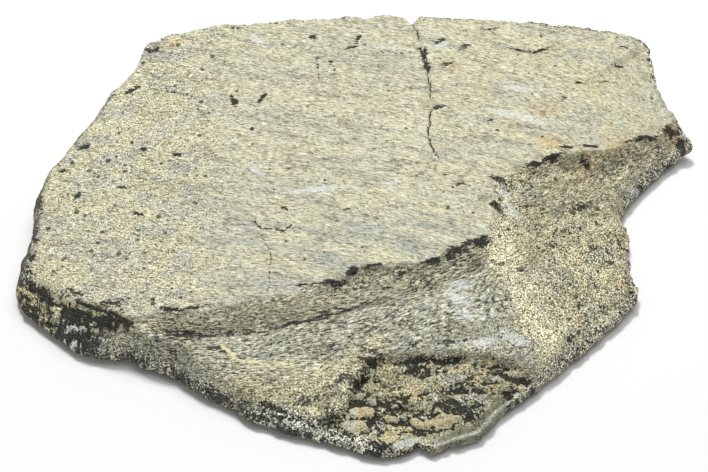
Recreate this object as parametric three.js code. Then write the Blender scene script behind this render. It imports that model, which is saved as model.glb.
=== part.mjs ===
// A section of fossil rib: one flat piece of bone, broken on every side.
// Its fibres run along X. The upper face is a smooth plate of cortical bone that ends at a ledge. In front of the
// ledge lie a fibrous bench, a grainy slope and a recess of open spongy bone. A crack runs in from the back edge.
// Millimetres, +Z up, with the origin under the middle of the piece, on the surface it rests on.
import * as THREE from 'three';
import { mergeVertices } from 'three/addons/utils/BufferGeometryUtils.js';

// Driving dimensions
const LENGTH = 107.5; // along X, from the left end to the tip on the right
const WIDTH = 79.5; // along Y, from the front point to the back edge
const CROWN_HEIGHT = 12.9; // of the plate's highest point
const RIM_BAND = 1.2; // height of the sharp edge all round, where the piece is widest
const FACET = 1.75; // spacing of the points on the upper face
const BASE_FACET = 3.2; // and on the underside
const RIM_FACET = 1.5; // and along the outline

// The widest line of the piece, clockwise from the back left corner: x, y, its height, and how far in from it the
// upper face takes to reach its full height.
const OUTLINE = [
  [-35.75, 34.25, 8.5, 2.0], [-34.75, 35.75, 9.0, 1.8], [-31.75, 36.75, 9.5, 1.8], [-24.25, 38.25, 10.0, 1.8],
  [-10.25, 38.9, 10.8, 1.6], [3.25, 39.75, 11.0, 1.6], [7.0, 39.5, 11.0, 1.4], [8.1, 38.1, 10.5, 1.4],
  [9.6, 39.4, 11.0, 1.4], [17.75, 39.2, 11.0, 1.6], [29.25, 38.6, 10.6, 1.6], [41.25, 37.4, 9.6, 1.6],
  [46.25, 36.5, 8.8, 1.8], [47.5, 35.0, 7.8, 1.8], [48.0, 33.0, 7.0, 2.0], [48.25, 29.5, 6.5, 2.2],
  [49.2, 26.0, 6.0, 2.4], [51.3, 22.2, 5.0, 2.8], [53.75, 18.5, 2.6, 3.2], [50.25, 16.25, 1.7, 3.0],
  [45.75, 11.75, 1.6, 3.0], [42.25, 7.25, 1.6, 2.6], [41.25, 4.75, 1.6, 2.4], [41.75, 2.75, 1.6, 2.2],
  [42.25, -0.25, 1.8, 2.2], [41.9, -6.25, 1.9, 2.2], [42.9, -9.75, 2.0, 2.4], [42.4, -12.25, 1.9, 2.6],
  [39.5, -15.25, 1.7, 3.0], [34.0, -20.75, 1.6, 3.2], [31.0, -23.75, 1.6, 3.2], [24.0, -30.0, 1.5, 2.6],
  [20.5, -32.5, 1.5, 3.0], [17.5, -36.25, 1.5, 4.0], [13.5, -37.75, 1.5, 4.2], [10.75, -39.0, 1.4, 4.0],
  [8.25, -38.0, 1.4, 3.2], [5.75, -39.3, 1.4, 3.0], [3.25, -39.75, 1.4, 2.6], [0.25, -39.0, 1.5, 2.4],
  [-7.0, -36.75, 1.5, 2.4], [-12.5, -35.0, 1.5, 2.4], [-17.5, -32.75, 1.5, 2.4], [-25.25, -28.0, 1.5, 2.2],
  [-28.5, -25.5, 1.5, 2.0], [-32.0, -24.25, 1.5, 1.6], [-35.0, -22.5, 1.5, 1.8], [-39.0, -22.1, 1.5, 3.0],
  [-43.5, -20.9, 1.6, 3.8], [-47.0, -18.25, 1.6, 4.2], [-50.0, -15.5, 1.7, 4.2], [-52.5, -13.25, 1.9, 4.4],
  [-53.75, -10.5, 2.2, 4.6], [-53.2, -6.0, 2.5, 4.2], [-51.75, 0.25, 3.0, 3.2], [-52.0, 4.5, 3.4, 3.0],
  [-50.75, 9.0, 4.0, 2.4], [-43.75, 20.25, 5.5, 2.2], [-41.25, 25.25, 6.5, 2.2], [-37.5, 30.0, 7.5, 2.2],
];

// The lip of the ledge, from the left end to the tip: x, y, and how far the ledge slopes out in front of it.
const LEDGE = [
  [-48.0, -15.5, 2.0], [-42.5, -16.8, 2.0], [-39.0, -18.5, 1.8], [-35.0, -20.5, 1.6], [-32.0, -20.5, 1.8],
  [-30.0, -19.5, 2.2], [-23.5, -20.0, 2.4], [-16.5, -18.5, 3.0], [-6.0, -16.0, 3.2], [-2.5, -14.5, 2.6],
  [0.5, -12.5, 2.4], [9.5, -12.0, 2.8], [13.5, -9.5, 2.8], [19.0, -7.5, 2.2], [20.0, -2.0, 2.0], [20.5, 4.0, 1.8],
  [25.0, 6.2, 1.6], [29.5, 9.5, 1.8], [34.0, 10.6, 2.2], [38.5, 11.4, 2.6], [44.0, 15.0, 2.6], [48.0, 17.4, 2.2],
  [51.5, 22.5, 2.0],
];
// The plate is everything behind the lip, out past the outline.
const PLATE = [...LEDGE, [70, 40, 1], [70, 70, 1], [-70, 70, 1], [-70, -15, 1]];

// Three spot heights for each of the two broken faces below the ledge
const BENCH = planeThrough([20, -9, 10.6], [-30, -21, 8.6], [-12, -34, 4.9]);
const GRAINY_SLOPE = planeThrough([21, 3.5, 11.4], [41.5, 2, 4.6], [30, -22, 5.4]);

// The recess of open spongy bone at the front: its rim, and how far the floor lies below the bench
const RECESS = [
  [-7.5, -37.5], [-6.0, -35.0], [-2.5, -32.5], [-1.5, -29.0], [0.5, -26.0], [3.5, -24.5], [10.0, -24.0],
  [19.0, -24.5], [23.5, -26.0], [28.0, -27.5], [26.0, -31.0], [17.0, -38.5], [4.0, -41.0],
];
const RECESS_DEPTH = 1.6;
const RECESS_RIM = 1.0; // width of its sloping rim

// The hollow along the foot of the ledge
const TROUGH = [[-29, -22], [-24.5, -22.2], [-15.5, -21.4], [-6.5, -19.2], [5.5, -15.6], [13.5, -13], [19, -10]];
const TROUGH_DEPTH = 0.6;
const TROUGH_REACH = 2.6;

// The crack that runs in from the notch in the back edge
const CRACK = [[8.1, 38.1], [9.5, 34], [10.4, 29], [11, 24], [11, 18], [10.5, 13], [11.2, 9.6], [12, 8.4]];
const CRACK_DEPTH = 1.5;
const CRACK_HALF_WIDTH = 0.75;

// Lost flakes and pits that show from a step away: x, y, radius and depth
const CHIPS = [
  [-21.5, -20.0, 2.2, 0.7], [-3.0, -15.0, 1.8, 0.8], [3.2, -12.9, 1.6, 0.7], [18.6, -7.8, 2.0, 0.9],
  [19.4, 0.4, 1.5, 0.9], [24.6, 6.6, 1.9, 0.9], [28.0, 8.8, 1.5, 0.8], [-34.0, 34.4, 2.0, 1.2],
  [47.4, 17.4, 2.2, 0.9], [4.0, 27.5, 1.4, 0.5], [19.0, 34.0, 1.8, 0.4], [-26.5, 22.5, 1.8, 0.4],
];

// The underside rests on a flat patch about its middle and curves up to the rim outside it.
const REST_HALF_LENGTH = 33;
const REST_HALF_WIDTH = 21;
const BASE_RISE = 1.3; // how far the underside has risen where its edge starts to turn up
const BASE_EDGE = 4.5; // how far in from the rim that is

const ROUGHNESS = { plate: 0.1, bench: 0.32, grain: 0.34, spongy: 0.5, wall: 0.55, outline: 0.28 };

// A number from 0 to 1 that is fixed for each cell of a grid
function cellValue(i, j, seed) {
  let h = Math.imul(i, 374761393) + Math.imul(j, 668265263) + Math.imul(seed, 362437);
  h = Math.imul(h ^ (h >>> 13), 1274126177);
  return ((h ^ (h >>> 16)) >>> 0) / 4294967296;
}

// Soft random relief from -1 to 1, in lumps about as long and wide as asked
function relief(x, y, long, wide, seed) {
  const u = x / long;
  const v = y / wide;
  const i = Math.floor(u);
  const j = Math.floor(v);
  const s = ease(u - i);
  const t = ease(v - j);
  const near = THREE.MathUtils.lerp(cellValue(i, j, seed), cellValue(i + 1, j, seed), s);
  const far = THREE.MathUtils.lerp(cellValue(i, j + 1, seed), cellValue(i + 1, j + 1, seed), s);
  return 2 * THREE.MathUtils.lerp(near, far, t) - 1;
}

function ease(t) {
  return THREE.MathUtils.smoothstep(t, 0, 1);
}

// The height at (x, y) of the plane through three spot heights
function planeThrough(a, b, c) {
  const [p, q, r] = [a, b, c].map((spot) => new THREE.Vector3(...spot));
  const plane = new THREE.Plane().setFromCoplanarPoints(p, q, r);
  return (x, y) => -(plane.normal.x * x + plane.normal.y * y + plane.constant) / plane.normal.z;
}

// The nearest place on a chain of points: how far off it is, which stretch it is on, and how far along that
function nearestOn(chain, x, y, closed) {
  const best = { distance: Infinity, index: 0, share: 0 };
  const stretches = closed ? chain.length : chain.length - 1;
  for (let i = 0; i < stretches; i++) {
    const [ax, ay] = chain[i];
    const [bx, by] = chain[(i + 1) % chain.length];
    const squared = (bx - ax) ** 2 + (by - ay) ** 2;
    const share = THREE.MathUtils.clamp(((x - ax) * (bx - ax) + (y - ay) * (by - ay)) / squared, 0, 1);
    const distance = Math.hypot(x - ax - share * (bx - ax), y - ay - share * (by - ay));
    if (distance < best.distance) Object.assign(best, { distance, index: i, share });
  }
  return best;
}

// Column k of a chain's table at a place that nearestOn found
function valueAt(chain, place, k) {
  return THREE.MathUtils.lerp(chain[place.index][k], chain[(place.index + 1) % chain.length][k], place.share);
}

function isInside(polygon, x, y) {
  let inside = false;
  for (let i = 0, j = polygon.length - 1; i < polygon.length; j = i++) {
    const [ax, ay] = polygon[i];
    const [bx, by] = polygon[j];
    if (ay > y !== by > y && x < ax + ((bx - ax) * (y - ay)) / (by - ay)) inside = !inside;
  }
  return inside;
}

// The chain as points a set distance apart, with its corners kept, each with the columns of its table between them
function sampled(chain, spacing, closed) {
  const points = [];
  const stretches = closed ? chain.length : chain.length - 1;
  for (let i = 0; i < stretches; i++) {
    const start = chain[i];
    const end = chain[(i + 1) % chain.length];
    const steps = Math.max(1, Math.round(Math.hypot(end[0] - start[0], end[1] - start[1]) / spacing));
    for (let k = 0; k < steps; k++) points.push(start.map((value, c) => THREE.MathUtils.lerp(value, end[c], k / steps)));
  }
  if (!closed) points.push([...chain.at(-1)]);
  return points;
}

// The outline as it is broken: its own corners stay, and the points between them are rough
function brokenOutline() {
  const rough = sampled(OUTLINE, RIM_FACET, true);
  const corners = new Set(OUTLINE.map(([x, y]) => `${x},${y}`));
  for (const point of rough) {
    if (corners.has(`${point[0]},${point[1]}`)) continue;
    const [x, y] = point;
    point[0] += ROUGHNESS.outline * relief(x, y, 2.1, 2.1, 11);
    point[1] += ROUGHNESS.outline * relief(x, y, 2.1, 2.1, 12);
    point[0] = THREE.MathUtils.clamp(point[0], -LENGTH / 2, LENGTH / 2);
    point[1] = THREE.MathUtils.clamp(point[1], -WIDTH / 2, WIDTH / 2);
  }
  return rough;
}

const rim = brokenOutline();

// The smooth plate: a low crown that thins to the left end and more to the tip
function plateHeight(x, y) {
  const crown = CROWN_HEIGHT - 0.0014 * (x - 2) ** 2 - 0.0009 * (y - 12) ** 2;
  return crown - 0.22 * Math.max(0, x - 38) + ROUGHNESS.plate * relief(x, y, 9, 4, 1);
}

// The broken faces below the ledge
function lowerHeight(x, y) {
  const bench = BENCH(x, y) + ROUGHNESS.bench * relief(x, y, 4.5, 2.2, 2);
  const slope = GRAINY_SLOPE(x, y) + ROUGHNESS.grain * relief(x, y, 2.6, 2.6, 3);
  let height = Math.min(bench, slope);
  const trough = nearestOn(TROUGH, x, y, false).distance / TROUGH_REACH;
  height -= TROUGH_DEPTH * Math.exp(-trough * trough);
  if (isInside(RECESS, x, y)) {
    const drop = ease(nearestOn(RECESS, x, y, true).distance / RECESS_RIM);
    height -= drop * (RECESS_DEPTH + ROUGHNESS.spongy * relief(x, y, 3.2, 2.2, 4));
  }
  return height;
}

function upperHeight(x, y) {
  const lip = nearestOn(LEDGE, x, y, false);
  let height = plateHeight(x, y);
  if (!isInside(PLATE, x, y)) {
    const fall = ease(lip.distance / valueAt(LEDGE, lip, 2));
    height = THREE.MathUtils.lerp(height, Math.min(lowerHeight(x, y), height), fall);
  }
  for (const [cx, cy, radius, depth] of CHIPS) {
    height -= depth * (1 - ease(Math.hypot(x - cx, (y - cy) * 1.4) / radius));
  }
  const crack = nearestOn(CRACK, x, y, false);
  const along = (crack.index + crack.share) / (CRACK.length - 1);
  height -= CRACK_DEPTH * (1 - 0.7 * along) * Math.max(0, 1 - crack.distance / CRACK_HALF_WIDTH);
  // The wall: steep at the rim, where it is roughest, and easing over at the top
  const edge = nearestOn(OUTLINE, x, y, true);
  const low = valueAt(OUTLINE, edge, 2) + RIM_BAND / 2;
  const climb = THREE.MathUtils.clamp(edge.distance / valueAt(OUTLINE, edge, 3), 0, 1);
  const wall = ROUGHNESS.wall * 4 * climb * (1 - climb) * relief(x, y, 2.4, 1.8, 5);
  return THREE.MathUtils.lerp(low, Math.max(height, low + 0.4), 1 - (1 - climb) ** 2.2) + wall;
}

function lowerFaceHeight(x, y) {
  const edge = nearestOn(OUTLINE, x, y, true);
  const high = valueAt(OUTLINE, edge, 2) - RIM_BAND / 2;
  const beyondRest = Math.max(0, Math.hypot(x / REST_HALF_LENGTH, y / REST_HALF_WIDTH) - 1);
  if (!beyondRest) return 0;
  const rise = Math.min(BASE_RISE * ease(beyondRest), high);
  const reach = BASE_EDGE * (0.4 + 0.09 * high);
  const turn = 1 - THREE.MathUtils.clamp(edge.distance / reach, 0, 1);
  const rough = ROUGHNESS.wall * 3 * turn * (1 - turn) * relief(x, y, 3, 2.4, 6);
  return Math.max(0.05, THREE.MathUtils.lerp(rise, high, turn ** 1.8) + rough);
}

// Delaunay triangles of scattered points in plan, by adding them one at a time
function triangulate(points) {
  const far = 1e4;
  const all = [...points, [-far, -far], [far, -far], [0, far]];
  const n = points.length;
  let triangles = [circled([n, n + 1, n + 2])];
  function circled([a, b, c]) {
    const [[ax, ay], [bx, by], [cx, cy]] = [all[a], all[b], all[c]];
    const d = 2 * (ax * (by - cy) + bx * (cy - ay) + cx * (ay - by));
    const [sa, sb, sc] = [ax * ax + ay * ay, bx * bx + by * by, cx * cx + cy * cy];
    const ux = (sa * (by - cy) + sb * (cy - ay) + sc * (ay - by)) / d;
    const uy = (sa * (cx - bx) + sb * (ax - cx) + sc * (bx - ax)) / d;
    return { corners: [a, b, c], ux, uy, r2: (ax - ux) ** 2 + (ay - uy) ** 2 };
  }
  for (let k = 0; k < n; k++) {
    const [x, y] = all[k];
    const open = new Map();
    triangles = triangles.filter((t) => {
      if ((x - t.ux) ** 2 + (y - t.uy) ** 2 >= t.r2) return true;
      t.corners.forEach((from, i) => {
        const to = t.corners[(i + 1) % 3];
        if (!open.delete(`${to},${from}`)) open.set(`${from},${to}`, [from, to]);
      });
      return false;
    });
    for (const [from, to] of open.values()) triangles.push(circled([from, to, k]));
  }
  return triangles.map((t) => t.corners).filter((corners) => Math.max(...corners) < n);
}

// Points of a face: the rim first, then the lines that matter, then an even spread
function facePoints(lines, spacing) {
  const points = rim.map(([x, y]) => [x, y]);
  const add = (x, y, gap) => {
    if (!isInside(rim, x, y)) return;
    if (points.every(([px, py]) => Math.hypot(px - x, py - y) >= gap)) points.push([x, y]);
  };
  for (const line of lines) line.forEach(([x, y]) => add(x, y, 0.62 * spacing));
  const row = spacing * Math.sqrt(0.75);
  for (let j = 0, y = -WIDTH / 2; y < WIDTH / 2; y += row, j++) {
    for (let x = -LENGTH / 2 + (j % 2) * 0.5 * spacing; x < LENGTH / 2; x += spacing) {
      const dx = 0.22 * spacing * relief(x, y, 0.7, 0.7, 21);
      const dy = 0.22 * spacing * relief(x, y, 0.7, 0.7, 22);
      add(x + dx, y + dy, 0.72 * spacing);
    }
  }
  return points;
}

// A line beside another, on the side of the lower ground, as far off as the ledge is wide there
function footOf(ledge) {
  return ledge.map(([x, y, reach], i) => {
    const [px, py] = ledge[Math.max(0, i - 1)];
    const [qx, qy] = ledge[Math.min(ledge.length - 1, i + 1)];
    const length = Math.hypot(qx - px, qy - py);
    return [x + ((qy - py) / length) * reach, y - ((qx - px) / length) * reach];
  });
}

function besideLine(line, offset) {
  return footOf(line.map(([x, y]) => [x, y, offset]));
}

function ribSolid() {
  const crack = sampled(CRACK, 1.2, false);
  const ledge = sampled(LEDGE, 1.4, false);
  const recess = sampled(RECESS, 1.4, true);
  const lines = [crack, ledge, besideLine(crack, 1.1), besideLine(crack, -1.1), recess, footOf(ledge)];
  const upper = facePoints(lines, FACET);
  const lower = facePoints([], BASE_FACET);
  const positions = [];
  const triangles = [];
  const keep = (points, [a, b, c]) => {
    const x = (points[a][0] + points[b][0] + points[c][0]) / 3;
    const y = (points[a][1] + points[b][1] + points[c][1]) / 3;
    return isInside(rim, x, y);
  };
  upper.forEach(([x, y], i) => {
    const z = i < rim.length ? rim[i][2] + RIM_BAND / 2 : upperHeight(x, y);
    positions.push(x, y, z);
  });
  lower.forEach(([x, y], i) => {
    const z = i < rim.length ? rim[i][2] - RIM_BAND / 2 : lowerFaceHeight(x, y);
    positions.push(x, y, z);
  });
  const first = upper.length; // the first point of the lower face
  triangles.push(...triangulate(upper).filter((t) => keep(upper, t)));
  for (const t of triangulate(lower).filter((corners) => keep(lower, corners))) {
    triangles.push([t[0] + first, t[2] + first, t[1] + first]);
  }
  for (let i = 0; i < rim.length; i++) {
    const next = (i + 1) % rim.length; // the outline runs clockwise
    triangles.push([i, next, first + i], [next, first + next, first + i]);
  }
  const geometry = new THREE.BufferGeometry();
  geometry.setAttribute('position', new THREE.Float32BufferAttribute(positions, 3));
  geometry.setIndex(triangles.flat());
  const merged = mergeVertices(geometry, 1e-4);
  merged.computeVertexNormals();
  return merged;
}

const bone = new THREE.MeshStandardMaterial({ color: 0xc4bf9f, roughness: 0.85, metalness: 0 });
const ribSection = new THREE.Mesh(ribSolid(), bone);
ribSection.name = 'rib_section';

const part = new THREE.Group();
part.add(ribSection);

export default part;
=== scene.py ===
# A section of fossil rib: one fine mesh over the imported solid, with a stone-hard bone surface.
# The shape repeats the solid's own lines and heights, in millimetres, and adds what is finer than its facets:
# fibres, pores, cracks, chips, mineral crusts and the cells of the spongy bone.
import math

import bpy
import numpy as np
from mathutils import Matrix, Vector, geometry, kdtree

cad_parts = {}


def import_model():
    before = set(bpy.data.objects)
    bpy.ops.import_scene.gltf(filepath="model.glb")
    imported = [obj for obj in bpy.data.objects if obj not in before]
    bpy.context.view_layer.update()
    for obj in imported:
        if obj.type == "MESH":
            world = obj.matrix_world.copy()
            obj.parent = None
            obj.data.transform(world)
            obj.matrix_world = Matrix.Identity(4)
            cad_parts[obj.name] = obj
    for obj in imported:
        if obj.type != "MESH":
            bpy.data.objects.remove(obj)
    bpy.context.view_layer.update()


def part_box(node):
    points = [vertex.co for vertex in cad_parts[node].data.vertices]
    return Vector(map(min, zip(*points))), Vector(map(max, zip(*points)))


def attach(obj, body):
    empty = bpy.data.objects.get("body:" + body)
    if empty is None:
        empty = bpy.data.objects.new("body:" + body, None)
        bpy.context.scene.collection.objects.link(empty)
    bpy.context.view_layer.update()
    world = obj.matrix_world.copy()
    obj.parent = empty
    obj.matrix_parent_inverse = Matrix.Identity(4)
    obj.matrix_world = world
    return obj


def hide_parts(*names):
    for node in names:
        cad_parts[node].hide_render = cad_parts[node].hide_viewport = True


MM = 0.001

# Driving dimensions, as in the solid
LENGTH = 107.5
WIDTH = 79.5
CROWN_HEIGHT = 12.9
RIM_BAND = 1.2
RIM_FACET = 1.5

# The widest line, clockwise from the back left corner: x, y, its height, and the reach of the wall above it
OUTLINE = [
    (-35.75, 34.25, 8.5, 2), (-34.75, 35.75, 9, 1.8), (-31.75, 36.75, 9.5, 1.8), (-24.25, 38.25, 10, 1.8),
    (-10.25, 38.9, 10.8, 1.6), (3.25, 39.75, 11, 1.6), (7, 39.5, 11, 1.4), (8.1, 38.1, 10.5, 1.4),
    (9.6, 39.4, 11, 1.4), (17.75, 39.2, 11, 1.6), (29.25, 38.6, 10.6, 1.6), (41.25, 37.4, 9.6, 1.6),
    (46.25, 36.5, 8.8, 1.8), (47.5, 35, 7.8, 1.8), (48, 33, 7, 2), (48.25, 29.5, 6.5, 2.2),
    (49.2, 26, 6, 2.4), (51.3, 22.2, 5, 2.8), (53.75, 18.5, 2.6, 3.2), (50.25, 16.25, 1.7, 3),
    (45.75, 11.75, 1.6, 3), (42.25, 7.25, 1.6, 2.6), (41.25, 4.75, 1.6, 2.4), (41.75, 2.75, 1.6, 2.2),
    (42.25, -0.25, 1.8, 2.2), (41.9, -6.25, 1.9, 2.2), (42.9, -9.75, 2, 2.4), (42.4, -12.25, 1.9, 2.6),
    (39.5, -15.25, 1.7, 3), (34, -20.75, 1.6, 3.2), (31, -23.75, 1.6, 3.2), (24, -30, 1.5, 2.6),
    (20.5, -32.5, 1.5, 3), (17.5, -36.25, 1.5, 4), (13.5, -37.75, 1.5, 4.2), (10.75, -39, 1.4, 4),
    (8.25, -38, 1.4, 3.2), (5.75, -39.3, 1.4, 3), (3.25, -39.75, 1.4, 2.6), (0.25, -39, 1.5, 2.4),
    (-7, -36.75, 1.5, 2.4), (-12.5, -35, 1.5, 2.4), (-17.5, -32.75, 1.5, 2.4), (-25.25, -28, 1.5, 2.2),
    (-28.5, -25.5, 1.5, 2), (-32, -24.25, 1.5, 1.6), (-35, -22.5, 1.5, 1.8), (-39, -22.1, 1.5, 3),
    (-43.5, -20.9, 1.6, 3.8), (-47, -18.25, 1.6, 4.2), (-50, -15.5, 1.7, 4.2), (-52.5, -13.25, 1.9, 4.4),
    (-53.75, -10.5, 2.2, 4.6), (-53.2, -6, 2.5, 4.2), (-51.75, 0.25, 3, 3.2), (-52, 4.5, 3.4, 3),
    (-50.75, 9, 4, 2.4), (-43.75, 20.25, 5.5, 2.2), (-41.25, 25.25, 6.5, 2.2), (-37.5, 30, 7.5, 2.2),
]

# The lip of the ledge, from the left end to the tip: x, y, and the width of the ledge in front of it
LEDGE = [
    (-48, -15.5, 2), (-42.5, -16.8, 2), (-39, -18.5, 1.8), (-35, -20.5, 1.6), (-32, -20.5, 1.8),
    (-30, -19.5, 2.2), (-23.5, -20, 2.4), (-16.5, -18.5, 3), (-6, -16, 3.2), (-2.5, -14.5, 2.6),
    (0.5, -12.5, 2.4), (9.5, -12, 2.8), (13.5, -9.5, 2.8), (19, -7.5, 2.2), (20, -2, 2),
    (20.5, 4, 1.8), (25, 6.2, 1.6), (29.5, 9.5, 1.8), (34, 10.6, 2.2), (38.5, 11.4, 2.6),
    (44, 15, 2.6), (48, 17.4, 2.2), (51.5, 22.5, 2),
]
PLATE = LEDGE + [(70, 40, 1), (70, 70, 1), (-70, 70, 1), (-70, -15, 1)]

# Three spot heights for each of the two broken faces below the ledge
BENCH = [(20, -9, 10.6), (-30, -21, 8.6), (-12, -34, 4.9)]
GRAINY_SLOPE = [(21, 3.5, 11.4), (41.5, 2, 4.6), (30, -22, 5.4)]

RECESS = [
    (-7.5, -37.5), (-6, -35), (-2.5, -32.5), (-1.5, -29), (0.5, -26), (3.5, -24.5), (10, -24),
    (19, -24.5), (23.5, -26), (28, -27.5), (26, -31), (17, -38.5), (4, -41),
]
RECESS_DEPTH = 1.6
RECESS_RIM = 1.0

TROUGH = [(-29, -22), (-24.5, -22.2), (-15.5, -21.4), (-6.5, -19.2), (5.5, -15.6), (13.5, -13), (19, -10)]
TROUGH_DEPTH = 0.6
TROUGH_REACH = 2.6

CRACK = [(8.1, 38.1), (9.5, 34), (10.4, 29), (11, 24), (11, 18), (10.5, 13), (11.2, 9.6), (12, 8.4)]
CRACK_DEPTH = 1.5

# Lost flakes: x, y, radius and depth
CHIPS = [
    (-21.5, -20, 2.2, 0.7), (-3, -15, 1.8, 0.8), (3.2, -12.9, 1.6, 0.7), (18.6, -7.8, 2, 0.9),
    (19.4, 0.4, 1.5, 0.9), (24.6, 6.6, 1.9, 0.9), (28, 8.8, 1.5, 0.8), (-34, 34.4, 2, 1.2),
    (47.4, 17.4, 2.2, 0.9), (4, 27.5, 1.4, 0.5), (19, 34, 1.8, 0.4), (-26.5, 22.5, 1.8, 0.4),
]

REST_HALF_LENGTH = 33
REST_HALF_WIDTH = 21
BASE_RISE = 1.3
BASE_EDGE = 4.5

ROUGHNESS = {
    "plate": 0.1, "bench": 0.32, "grain": 0.34, "spongy": 0.5, "wall": 0.55, "outline": 0.28, "rim": 0.16,
}
# What the walls get outwards: how far, in lumps of what size, and a seed
WALL_LUMPS = [(0.26, 1.5, 221), (0.16, 0.75, 225), (0.08, 0.42, 229)]

# Spacing of the mesh's points: over most of the upper face, over its broken parts, below, and along the rim
SPACING = 0.36
FINE_SPACING = 0.26
BASE_SPACING = 0.8
RIM_SPACING = 0.34
LINE_SPACING = 0.26
BAND_ROWS = 4  # rows of points from the top to the bottom of the rim's band

# Cracks finer than the solid shows: points, depth and how dark they are
FINE_CRACKS = [
    ([(-16.5, -4), (-15.5, -5.3), (-14, -5.4), (-12, -5.9), (-11, -4.7)], 0.16, 0.95),
    ([(-15.5, -6.5), (-14.5, -8.5), (-14, -11), (-14, -16), (-14.5, -18)], 0.14, 0.62),
    ([(-7.5, 29.5), (-7, 27), (-7, 24)], 0.12, 0.6),
    ([(-2.5, 31.5), (-1, 32), (0.5, 32.5)], 0.12, 0.6),
    ([(19.5, 36.5), (21, 36.5), (22.5, 37)], 0.12, 0.65),
    ([(24, 32.5), (27, 32), (28, 31.5), (30, 32.5), (30.5, 33)], 0.14, 0.6),
    ([(14, 2.5), (15, 3), (16, 3)], 0.12, 0.75),
    ([(1.5, 30.5), (4, 31), (6, 30.5), (8.5, 31)], 0.12, 0.62),
    ([(-34, 24.5), (-31, 23.5), (-26.5, 22)], 0.12, 0.66),
    ([(-1.5, -7), (-1.5, -9.5), (-1, -12.5)], 0.08, 0.2),
]

# Dark marks: x, y, half length, half width and turn in degrees; on the plate they are mineral crusts
DARK_ON_PLATE = [
    (-34.2, 33.4, 1.6, 1.3, -5), (-37, 24.5, 1.5, 0.4, 35), (-20.5, 20.5, 1.5, 0.4, -70),
    (-29, 10, 0.6, 0.4, -5), (-34.5, 11.5, 0.5, 0.4, -5), (-36.5, 13, 0.3, 0.3, 0), (-37.5, 4, 1, 0.2, -10),
    (-34.5, -1.5, 0.9, 0.3, -20), (-44, 13, 1, 0.4, 30), (-47, 8.5, 0.9, 0.4, 35), (-44.5, 3, 0.9, 0.3, 55),
    (-8, 34.5, 0.8, 0.7, 20), (-0.5, 34, 1.8, 0.4, 70), (-1, 32, 1.4, 0.2, 10), (-5, 28.5, 0.4, 0.3, 0),
    (10, 31, 1.2, 0.6, -65), (10.5, 28, 1.4, 0.5, -70), (13, 33.5, 1.2, 0.5, 40), (17, 32.5, 1, 0.4, 30),
    (14, 28.5, 1.1, 0.5, 35), (12.5, 19, 1.1, 0.3, 25), (-17.5, 14.5, 0.4, 0.4, 0), (-16, 21, 1.1, 0.3, 55),
    (-20, 20.5, 0.4, 0.2, 15), (-12, -1.5, 0.5, 0.3, 10), (-2.5, -2, 0.6, 0.2, 10), (13, 5, 0.3, 0.3, 0),
    (15, 3, 1.1, 0.2, 25), (13, -1.5, 1.4, 0.1, -5), (21, 36.5, 1.3, 0.2, 15), (26, 32, 1.7, 0.2, -15),
    (29, 32, 2, 0.3, 30), (43, 34, 1.1, 0.3, 10), (35, 25.5, 0.4, 0.3, 5), (32.5, 22, 0.4, 0.3, -15),
    (39.5, 26.5, 1.6, 0.1, 5), (42, 30.5, 1.1, 0.2, 15), (-40.5, -6.5, 0.3, 0.3, 0),
    (-31.5, -17.5, 0.3, 0.3, 30), (20.5, 16.5, 0.5, 0.2, 30), (47.5, 35.5, 2.9, 0.4, -80),
    (-20.5, 37, 1.2, 0.3, 0),
]
# At the ledge's lip: black mineral crusts, and in part a painted shadow under the lip
DARK_ON_LEDGE = [
    (-29, -19.5, 2.1, 0.3, -10), (-25, -19.5, 1.9, 0.3, 5), (-9, -16, 0.8, 0.2, 0),
    (-5.2, -15.5, 3.1, 0.35, 12), (-1.5, -13.5, 1.2, 0.6, 35), (1.5, -12.5, 1.8, 0.2, 15),
    (6, -13, 0.7, 0.2, 20), (10.5, -11.5, 2, 0.25, 20), (14.3, -9.6, 2, 0.8, 18), (17.3, -7.8, 2.4, 0.6, 20),
    (21, 4.5, 1.5, 0.4, -15), (20.5, -0.5, 0.8, 0.7, 60),
    (27, 8, 2.8, 0.35, 30), (30, 9.5, 2.1, 0.35, 20), (32.5, 11.5, 1.4, 0.3, -5), (35.5, 10, 1, 0.2, -20),
    (36, 12, 1.6, 0.2, 5), (45, 16, 3.9, 0.3, 30), (50, 19.5, 2.3, 0.5, 30), (52, 18, 1.7, 0.6, -65),
    (50, 15.5, 1.2, 0.4, 30), (45, 10.5, 1.8, 0.5, 35),
]
# Below the ledge: mineral crusts, but the two along the recess's back rim, at x 7 and 13.5, are a painted shadow
# of the overhang
DARK_BELOW = [
    (33, -15, 0.8, 0.4, 30), (29.5, -5, 1, 0.6, 40), (36.5, -4, 1.3, 0.3, 25), (32, -20.5, 0.9, 0.4, 40),
    (34.5, 3, 2.3, 0.9, 35), (30, -2.5, 1.3, 0.3, 55), (40.5, -2.5, 1.8, 0.4, -70),
    (41.5, -10.5, 2.9, 0.5, -80), (-3, -20, 5.7, 0.2, 0), (-21.5, -24.5, 3, 0.5, -5),
    (-35, -20.5, 0.9, 0.5, -30), (1.5, -24.5, 2.4, 0.7, -20), (-3, -29, 2.8, 1, 45), (7, -23.5, 3.3, 0.4, 5),
    (13.5, -23, 3.2, 0.4, 5), (13, -29.5, 2.6, 0.8, 10), (2.5, -34, 0.9, 0.9, 10),
    (-8.5, -32.5, 2.6, 1.1, 15), (-4.5, -34.5, 2.2, 1.6, 25), (-37.5, -18, 2.5, 1.2, 0),
    (-49.5, -15, 1.4, 0.5, -10), (-43.5, -15.5, 2.7, 0.7, -5),
]

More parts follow.
